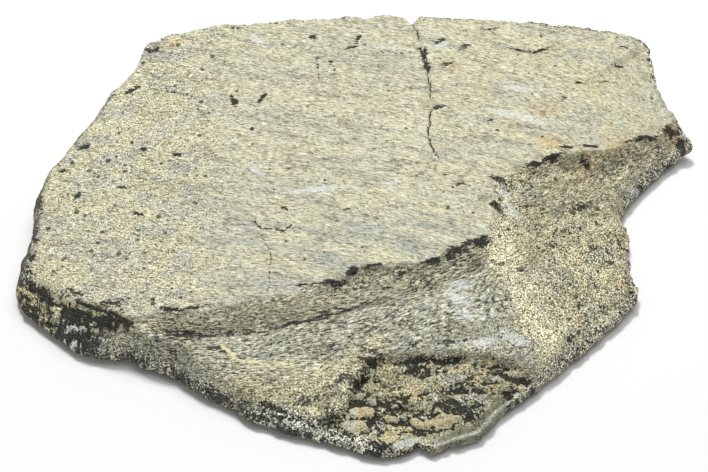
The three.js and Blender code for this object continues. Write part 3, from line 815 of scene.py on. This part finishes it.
def upper_dark(g, lines):
    """The share of the surface that the black mineral takes, in pores, gaps, crusts and cracks, and that painted
    shade takes in the trough and along the recess's back rim.
    """
    x, y = g.x, g.y
    bench = g.lower * (1.0 - g.on_slope)
    slope = g.lower * g.on_slope
    dark = 0.12 + 0.08 * g.left + g.lower * 0.13 - 0.1 * g.crest * slope
    dark = dark + 0.34 * below(x, -38, 3) * until(g.edge, 0.8, 2.2)
    dark = dark + 0.1 * bench * above(g.fibre_streaks, 0.5, 0.2)
    dark = dark + 0.1 * slope * above(g.patches, 0.55, 0.2) * (1.0 - g.crest)
    dark = dark + 0.1 * slope * (g.grey_lumps - 0.3)
    # painted shade: a dark line along the bottom of the trough's crease, on the bench
    dark = dark + (0.12 + 0.24 * below(x, 4, 8)) * hump(g.trough, 0, 0.34) * bench
    dark = dark + 0.1 * above(x, -12, 10) * g.below_lip
    dark = np.maximum(dark, g.wall_pores)
    dark = lerp(dark, 0.85 - 0.77 * g.strut, g.corner)
    dark = lerp(dark, 0.3 - 0.04 * g.front + 0.08 * g.streaky, g.in_recess)
    dark = np.maximum(dark, g.in_recess * g.gap * (0.84 + 0.16 * g.lens_line))
    # painted shadow along the recess's back rim, and black fill in its other hollows
    dark = np.maximum(dark, 0.9 * g.hollow)
    dark = dark * (1.0 - 0.6 * g.smooth_lip) * (1.0 - 0.85 * g.lens * g.in_recess)
    crack_width = 0.24 * (1.0 - 0.45 * g.crack_along)
    covers = [
        0.8 * mark_strength(DARK_ON_PLATE, x, y, 181, spread=0.85),
        0.84 * mark_strength(DARK_ON_LEDGE, x, y, 182, spread=0.85),
        0.6 * mark_strength(DARK_BELOW, x, y, 183, spread=0.8) * (1.0 - g.corner),
        0.4 * g.pit * (1.0 - g.in_recess),
        (0.68 + 0.3 * relief(x, y, 1.6, 1.6, 187)) * chain_cover(lines[0], x, y, crack_width),
    ]
    for (_, _, strength), chain in zip(FINE_CRACKS, lines[1:]):
        covers.append(0.85 * strength * chain_cover(chain, x, y, 0.24))
    return np.maximum.reduce([dark] + covers)


def upper_look(g, lines):
    """Tone, texture and mineral shares for each point of the upper face; the tone has painted light on the walls
    and below the ledge's lip, the dark share painted shade.
    """
    x, y = g.x, g.y
    add_zones(g)
    add_walls(g)
    thread = chain_cover(lines[-1], x, y, 0.26)
    rim_line = hump(g.edge, 0.5, 0.22) * below(y, -22, 3) * above(x, -24, 6)
    rim_line = rim_line * above(layered(x, y, 3.0, 3.0, 233), -0.35, 0.3)
    tone = painted(upper_tone(g), [(STRUT_PALE, rim_line), (THREAD_YELLOW, thread)])
    # painted light: the bare and low walls are made brighter, to offset the shade on their steep faces
    tone = tone * (1.0 + (0.45 * g.bare + 0.25 * g.low_wall) * g.wall * (1.0 - g.corner))[:, None]
    dark = upper_dark(g, lines) * (1.0 - 0.8 * rim_line) * (1.0 - thread)
    solid_bone = 1.0 - np.maximum(g.in_recess, g.corner)
    pale = 0.06 + 0.14 * g.lower * solid_bone
    pale_mark = mark_strength(PALE_MARKS, x, y, 185, spread=0.8)
    pale = np.maximum(pale, pale_mark * (0.9 - 0.22 * g.lower - 0.5 * g.corner)) * (1.0 - thread)
    rust = mark_strength(RUST_MARKS, x, y, 189, spread=0.7)

    fibrous = g.by_face(0.95 - 0.4 * g.left, 1.0, 0.3 + 0.5 * g.band)
    fibrous = fibrous * (1.0 - 0.6 * above(g.past_lip, 9, 5))
    fibrous = fibrous * (1.0 - 0.8 * g.wall) * (1.0 - 0.6 * g.in_recess)
    fibrous = np.maximum(fibrous, np.maximum(g.corner, g.streaky * 0.7))
    contrast = np.maximum(g.by_face(0.48 + 0.2 * g.left, 0.72, 0.8), (1.3 - 0.5 * g.bare) * g.wall)
    contrast = contrast * (1.0 - 0.3 * g.smooth_lip) * (1.0 - thread)
    contrast = contrast * (1.0 - g.in_recess * (0.1 + 0.4 * g.lens))
    lined = g.by_face(0.28, 0.68, 0.48 + 0.2 * g.band - 0.1 * g.crest)
    lined = np.maximum(lined, 0.66 * g.in_recess * (1.0 - g.lens))
    lined = lined * (1.0 - 0.6 * g.smooth_lip) * (1.0 - g.corner)
    specks = g.by_face(0.2 + 0.12 * g.left, 0.26, 0.46 - 0.2 * g.band) * solid_bone
    return np.column_stack([tone, specks]), fibrous, contrast, lined, dark, pale, rust


def lower_look(x, y, edge):
    """The same for the underside: plain cortical bone, stained at its edges."""
    blotches = patchy(x, y, 5.0, 3.2, 195)
    wall = until(edge + 0.8 * layered(x, y, 2.0, 2.0, 199), 1, 2)
    tone = painted(CORTEX, [
        (GREY_BONE, above(patchy(x, y, 12.0, 1.8, 191), 0.4, 0.3) * 0.7),
        (YELLOW_BONE, above(blotches, 0.5, 0.25) * 0.4),
        (WALL_GREY, wall * 0.8),
    ])
    stains = below(patchy(x, y, 3.0, 1.6, 203), 0.36, 0.16)
    dark = 0.12 + 0.35 * wall + 0.3 * stains
    rust = above(blotches, 0.66, 0.2) * 0.4
    tone = np.column_stack([tone, np.full_like(x, 0.2)])
    return tone, 0.7 * (1.0 - wall), 0.7 + 0.3 * wall, 0.25 + 0.35 * wall, dark, np.full_like(x, 0.08), rust


# Putting the piece together

def carve_lines(z, first, lines):
    """Lowers the crack and the fine cracks, each less towards its end, and raises the thread."""
    depths = [CRACK_DEPTH] + [depth for _, depth, _ in FINE_CRACKS]
    for depth, chain in zip(depths, lines):
        z[first:first + len(chain)] -= depth * (1.0 - 0.6 * np.linspace(0.0, 1.0, len(chain)))
        first += len(chain)
    z[first:first + len(lines[-1])] += THREAD_HEIGHT


def band_faces(starts, n):
    """The faces of the rim's band, between rows of points that start at these indices."""
    ring = np.arange(n)
    following = (ring + 1) % n
    faces = []
    for upper_row, lower_row in zip(starts[:-1], starts[1:]):
        faces.append(np.column_stack([upper_row + ring, upper_row + following, lower_row + ring]))
        faces.append(np.column_stack([upper_row + following, lower_row + following, lower_row + ring]))
    return faces


def roughened(vertices, faces, wall):
    """The points with the walls rough outwards too, inside the solid's box."""
    push = sum(out * relief_3d(vertices, size, seed) for out, size, seed in WALL_LUMPS)
    vertices = vertices + vertex_normals(vertices, faces) * (wall * push)[:, None]
    low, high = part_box("rib_section")
    return np.clip(vertices, np.array(low) / MM, np.array(high) / MM)


def new_mesh(vertices, faces, tone, vectors):
    mesh = bpy.data.meshes.new("rib_bone")
    mesh.vertices.add(len(vertices))
    mesh.vertices.foreach_set("co", (vertices * MM).astype(np.float32).ravel())
    mesh.loops.add(faces.size)
    mesh.loops.foreach_set("vertex_index", faces.astype(np.int32).ravel())
    mesh.polygons.add(len(faces))
    mesh.polygons.foreach_set("loop_start", np.arange(0, faces.size, 3, dtype=np.int32))
    mesh.update(calc_edges=True)
    mesh.validate()
    colours = mesh.attributes.new("tone", "FLOAT_COLOR", "POINT")
    colours.data.foreach_set("color", tone.astype(np.float32).ravel())
    for name, columns in vectors.items():
        layer = mesh.attributes.new(name, "FLOAT_VECTOR", "POINT")
        layer.data.foreach_set("vector", np.column_stack(columns).astype(np.float32).ravel())
    mesh.shade_smooth()
    return mesh


def build_rib(material):
    rim = broken_outline()
    n = len(rim)
    lines = fine_lines()
    points, edges = upper_points(rim, lines)
    g = Ground(*points.T)
    add_spongy_bone(g)
    z = upper_height(g)
    add_dark_corner(g, z)
    z = z + 0.3 * (g.strut - 0.7) * g.corner
    top = rim[:, 2] + RIM_BAND / 2
    bottom = rim[:, 2] - RIM_BAND / 2
    z[:n] = top
    carve_lines(z, n, lines)

    base = clear_of(grid_points(BASE_SPACING, 153), rim[:, :2], 0.5 * BASE_SPACING)
    base = np.vstack([rim[:, :2], base])
    base_z = lower_face_height(*base.T)
    base_z[:n] = bottom

    stack = [np.column_stack([points, z])]
    for k in range(1, BAND_ROWS - 1):
        stack.append(np.column_stack([rim[:, :2], lerp(top, bottom, k / (BAND_ROWS - 1))]))
    stack.append(np.column_stack([base, base_z]))
    starts = np.cumsum([0] + [len(part) for part in stack[:-1]])
    upper_faces = triangulated(points, edges, True)
    lower_faces = triangulated(base, chain_edges(0, n, closed=True), False) + starts[-1]
    faces = np.vstack([upper_faces, lower_faces] + band_faces(starts, n))

    edge, _, _ = nearest_on(OUTLINE, *base.T, closed=True)
    wall_upper = 1.0 - ease(g.climb)
    wall_lower = until(edge, 0, 2.2)
    wall_upper[:n] = 1.0
    wall_lower[:n] = 1.0
    vertices = roughened(np.vstack(stack), faces, for_all(wall_upper, wall_lower, n))

    looks = zip(upper_look(g, lines), lower_look(*base.T, edge))
    tone, fibrous, contrast, lined, dark, pale, rust = (for_all(upper, lower, n) for upper, lower in looks)
    along = for_all(g.along, base[:, 0], n)
    across = for_all(g.across, base[:, 1], n)
    vectors = {
        "fibre": [along, across, vertices[:, 2]],
        "texture": [fibrous, contrast, lined],
        "minerals_and_shade": [dark, pale, rust],
    }
    mesh = new_mesh(vertices, faces, tone, vectors)
    mesh.materials.append(material)
    rib = bpy.data.objects.new("rib_bone", mesh)
    bpy.context.scene.collection.objects.link(rib)
    return rib


# The material

BUMP_DISTANCE = 0.00016
WARM_SHADE = (1.015, 1.0, 0.94)
COOL_SHADE = (0.99, 1.0, 1.03)
HAIR_SHADE = (0.4, 0.38, 0.42)


def colour(values):
    return (float(values[0]), float(values[1]), float(values[2]), 1.0)


class Nodes:
    """Short ways to add nodes to one material."""

    def __init__(self, name):
        self.material = bpy.data.materials.new(name)
        self.material.use_nodes = True
        self.tree = self.material.node_tree
        self.tree.nodes.clear()

    def add(self, kind, inputs=None, **settings):
        """A node with its settings, and its inputs as numbers or as outputs of other nodes."""
        node = self.tree.nodes.new(kind)
        for key, value in settings.items():
            setattr(node, key, value)
        for key, value in (inputs or {}).items():
            if isinstance(value, bpy.types.NodeSocket):
                self.tree.links.new(value, node.inputs[key])
            else:
                node.inputs[key].default_value = value
        return node

    def attribute(self, name):
        return self.add("ShaderNodeAttribute", attribute_name=name).outputs

    def parts(self, vector):
        return self.add("ShaderNodeSeparateXYZ", {0: vector}).outputs

    def math(self, operation, a, b=0.0, clamp=False):
        return self.add("ShaderNodeMath", {0: a, 1: b}, operation=operation, use_clamp=clamp).outputs[0]

    def times(self, a, b):
        return self.math("MULTIPLY", a, b)

    def minus(self, a, b):
        return self.math("SUBTRACT", a, b)

    def off_middle(self, noise):
        """How far a noise is from its middle value: nothing along crooked lines."""
        return self.math("ABSOLUTE", self.minus(noise, 0.5))

    def vector(self, operation, vector, values):
        return self.add("ShaderNodeVectorMath", {0: vector, 1: values}, operation=operation).outputs[0]

    def noise(self, place, factors, shift=None, detail=3.0, roughness=0.6):
        """Noise at a place in millimetres, shifted and then scaled by a factor for each axis."""
        if shift:
            place = self.vector("ADD", place, shift)
        place = self.vector("MULTIPLY", place, factors)
        inputs = {"Vector": place, "Scale": 1.0, "Detail": detail, "Roughness": roughness}
        return self.add("ShaderNodeTexNoise", inputs).outputs["Fac"]

    def spread(self, value, low, high, new_low=0.0, new_high=1.0, smooth=False):
        """The value's range from low to high, spread over the new range."""
        inputs = {"Value": value, "From Min": low, "From Max": high, "To Min": new_low, "To Max": new_high}
        steps = "SMOOTHSTEP" if smooth else "LINEAR"
        return self.add("ShaderNodeMapRange", inputs, clamp=True, interpolation_type=steps).outputs["Result"]

    def blend(self, factor, a, b):
        return self.add("ShaderNodeMix", {0: factor, 2: a, 3: b}, data_type="FLOAT").outputs[0]

    def tint(self, factor, a, b, blend_type="MIX"):
        inputs = {0: factor, 6: a, 7: b}
        return self.add("ShaderNodeMix", inputs, data_type="RGBA", blend_type=blend_type).outputs[2]

    def shaded(self, base, shade):
        return self.tint(1.0, base, colour(shade), "MULTIPLY")

    def gained(self, tone, gain):
        """The tone, made as much brighter or darker as the gain says."""
        return self.add("ShaderNodeVectorMath", {0: tone, "Scale": gain}, operation="SCALE").outputs[0]

    def finished(self, shader):
        self.add("ShaderNodeOutputMaterial", {"Surface": shader.outputs[0]})
        return self.material


def add_mesh_values(m):
    """The values that the mesh carries, and places in millimetres: plain ones, and along the fibres."""
    coords = m.add("ShaderNodeTexCoord").outputs["Object"]
    m.place = m.vector("MULTIPLY", coords, (1.0 / MM, 1.0 / MM, 1.0 / MM))
    m.fibre = m.attribute("fibre")["Vector"]
    tone = m.attribute("tone")
    m.tone = tone["Color"]
    m.specks = tone["Alpha"]
    m.fibrous, m.contrast, m.lined = m.parts(m.attribute("texture")["Vector"])
    m.dark, m.pale, m.rust = m.parts(m.attribute("minerals_and_shade")["Vector"])


def add_grain(m):
    """Fibres and grains, from coarse to fine, and what they do to the tone."""
    fibres = m.noise(m.fibre, (0.22, 1.2, 1.2), detail=6, roughness=0.78)
    grains = m.noise(m.place, (0.8, 0.8, 0.8), detail=6, roughness=0.8)
    m.body = m.blend(m.fibrous, grains, fibres)
    grit = m.noise(m.place, (4.2, 4.2, 4.2), (9, 4, 1), detail=1)
    hairs = m.noise(m.fibre, (1.2, 4.8, 4.8), (9, 4, 1), detail=1)
    m.fine = m.blend(m.times(m.fibrous, 0.7), grit, hairs)
    coarse_swing = m.times(m.minus(m.body, 0.5), m.spread(m.contrast, 0.45, 0.9, 1.3, 2.0))
    fine_swing = m.times(m.minus(m.fine, 0.5), m.spread(m.contrast, 0.55, 0.78, 6.8, 8.8))
    swing = m.times(m.math("ADD", coarse_swing, fine_swing), m.contrast)
    m.gain = m.math("MAXIMUM", m.math("ADD", swing, 1.0), 0.12)


def with_hairlines(m, base):
    """The colour with warm and cool patches side by side, and long grey hairlines along the fibres."""
    hue = m.noise(m.fibre, (0.45, 0.9, 0.9), (31, 7, 3), detail=5, roughness=0.7)
    base = m.tint(m.spread(hue, 0.38, 0.62), m.shaded(base, WARM_SHADE), m.shaded(base, COOL_SHADE))
    hair = m.noise(m.fibre, (0.14, 1.5, 1.5), (4, 11, 6))
    hair = m.spread(m.off_middle(hair), 0.0, 0.06, 1.0, 0.0, smooth=True)
    gate = m.spread(m.noise(m.fibre, (0.2, 0.5, 0.5), (1, 9, 2)), 0.42, 0.6)
    cover = m.times(m.times(hair, gate), m.spread(m.fibrous, 0.1, 0.6, 0.4, 0.75))
    return m.tint(cover, base, m.shaded(base, HAIR_SHADE))


def dark_mineral_and_shade(m):
    """Where the black mineral and the painted shade are: they fill as many of the pores as the mesh says."""
    pores = m.blend(
        m.times(m.fibrous, 0.75),
        m.noise(m.place, (2.4, 2.4, 2.4), (5, 17, 9), detail=2),
        m.noise(m.fibre, (0.75, 3.6, 3.6), (5, 17, 9), detail=2),
    )
    # the dark share, painted shade included, picks out the pores
    pores = m.spread(m.minus(m.dark, m.spread(pores, 0.26, 0.74)), -0.06, 0.07, smooth=True)

    # Crooked black lines between the fine struts, and along the fibres
    line = m.noise(m.fibre, (0.6, 1.8, 1.8), (8, 3, 4), roughness=0.55)
    line = m.spread(m.off_middle(line), 0.003, 0.03, 1.0, 0.0, smooth=True)
    gate = m.spread(m.noise(m.place, (0.7, 0.9, 0.9), (3, 1, 8), detail=2), 0.35, 0.65)
    line = m.times(line, m.spread(m.math("ADD", m.lined, gate), 0.95, 1.15))
    cover = m.math("MAXIMUM", pores, m.times(line, 0.85))

    # Small dark grains, each in a cell of its own and of its own size
    place = m.vector("MULTIPLY", m.place, (0.7, 0.8, 0.8))
    cell = m.add("ShaderNodeTexVoronoi", {"Vector": place, "Scale": 1.0})
    size = m.math("POWER", m.parts(cell.outputs["Color"])[0], 3.0)
    ragged = m.times(m.minus(m.body, 0.5), 0.7)
    radius = m.math("ADD", m.times(size, m.specks), ragged)
    inward = m.minus(radius, cell.outputs["Distance"])
    return m.math("MAXIMUM", cover, m.spread(inward, -0.02, 0.04, 0.0, 0.9, smooth=True))


def with_minerals_and_shade(m, base, dark_cover):
    """The colour with its rusty stains, the black mineral with the painted shade, and pale calcite."""
    rust = m.spread(m.noise(m.place, (1.2, 2.0, 2.0), (2, 3, 5)), 0.3, 0.7)
    rust = m.math("MULTIPLY", m.rust, m.times(rust, 0.5), clamp=True)
    base = m.tint(rust, base, m.tint(1.0, colour(RUST), base, "SOFT_LIGHT"))
    pore_and_shade = m.tint(m.spread(m.dark, 0.1, 0.6), colour(PORE_AND_SHADE_BROWN), colour(MINERAL_AND_SHADE_BLACK))
    base = m.tint(m.times(dark_cover, 0.95), base, m.gained(pore_and_shade, m.times(m.gain, m.gain)))
    crystals = m.noise(m.place, (2.8, 3.6, 3.6), (13, 2, 21), roughness=0.65)
    web = m.times(m.off_middle(crystals), 5.0)
    pale = m.blend(m.spread(m.lined, 0.5, 0.8), m.spread(crystals, 0.26, 0.74), web)
    pale = m.spread(m.minus(m.pale, pale), -0.08, 0.12, smooth=True)
    calcite = m.gained(colour(CALCITE)[:3], m.spread(m.gain, 0.3, 1.5, 0.65, 1.15))
    return m.tint(m.times(pale, 0.8), base, calcite)


def bone_material():
    m = Nodes("fossil_bone")
    add_mesh_values(m)
    add_grain(m)
    dark_cover = dark_mineral_and_shade(m)
    base = with_hairlines(m, m.gained(m.tone, m.gain))
    base = with_minerals_and_shade(m, base, dark_cover)
    rough = m.blend(dark_cover, m.spread(m.fine, 0.3, 0.7, 0.9, 0.7), 0.6)
    grain_height = m.math("ADD", m.times(m.body, 2.2), m.times(m.fine, 0.8))
    bump = m.add("ShaderNodeBump", {
        "Distance": BUMP_DISTANCE,
        "Height": m.minus(grain_height, m.times(dark_cover, 0.6)),
        "Strength": m.spread(m.contrast, 0.4, 1.0, 0.45, 0.9),
    })
    shader = m.add("ShaderNodeBsdfPrincipled", {
        "Base Color": base, "Roughness": rough, "Normal": bump.outputs[0], "Specular IOR Level": 0.3,
    })
    return m.finished(shader)


# The stage

CAMERA_TARGET = Vector((-1.25, -2.75, 7.0))  # the point in the middle of the picture
CAMERA_DISTANCE = 367.2
CAMERA_ELEVATION = math.radians(52)
CAMERA_LENS = 120.0
SENSOR_WIDTH = 36.0

# Area lights: name, place and size in metres, and power in watts
LIGHTS = [("key", (-0.08, 0.24, 0.78), 0.15, 3.6), ("top", (0.15, 0.1, 0.8), 0.5, 2.05)]
SKY_STRENGTH = 0.26
FLOOR_HALF_SIZE = 3.0
FLOOR_HEIGHT = -0.00005
FLOOR_WHITE = 0.97


def add_camera():
    data = bpy.data.cameras.new("camera")
    data.lens = CAMERA_LENS
    data.sensor_width = SENSOR_WIDTH
    data.clip_start = 0.01
    data.clip_end = 20.0
    camera = bpy.data.objects.new("camera", data)
    away = Vector((0.0, -math.cos(CAMERA_ELEVATION), math.sin(CAMERA_ELEVATION)))
    camera.location = (CAMERA_TARGET + CAMERA_DISTANCE * away) * MM
    camera.rotation_euler = (-away).to_track_quat("-Z", "Y").to_euler()
    bpy.context.scene.collection.objects.link(camera)
    bpy.context.scene.camera = camera


def add_light(name, place, size, power):
    data = bpy.data.lights.new(name, "AREA")
    data.shape = "DISK"
    data.size = size
    data.energy = power
    light = bpy.data.objects.new(name, data)
    light.location = place
    light.rotation_euler = (-Vector(place)).to_track_quat("-Z", "Y").to_euler()
    bpy.context.scene.collection.objects.link(light)


def add_floor():
    nodes = Nodes("pale_floor")
    shader = nodes.add("ShaderNodeBsdfDiffuse", {"Color": colour([FLOOR_WHITE] * 3)})
    half = FLOOR_HALF_SIZE
    mesh = bpy.data.meshes.new("floor")
    corners = [(x, y, FLOOR_HEIGHT) for x, y in ((-half, -half), (half, -half), (half, half), (-half, half))]
    mesh.from_pydata(corners, [], [(0, 1, 2, 3)])
    mesh.materials.append(nodes.finished(shader))
    floor = bpy.data.objects.new("floor", mesh)
    bpy.context.scene.collection.objects.link(floor)


def add_world():
    world = bpy.data.worlds.new("studio")
    world.use_nodes = True
    background = world.node_tree.nodes["Background"]
    background.inputs["Color"].default_value = (1.0, 1.0, 1.0, 1.0)
    background.inputs["Strength"].default_value = SKY_STRENGTH
    bpy.context.scene.world = world


def main():
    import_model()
    rib = build_rib(bone_material())
    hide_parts("rib_section")
    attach(rib, "root")
    add_floor()
    add_world()
    for light in LIGHTS:
        add_light(*light)
    add_camera()
    bpy.context.scene.view_settings.view_transform = "Standard"


main()
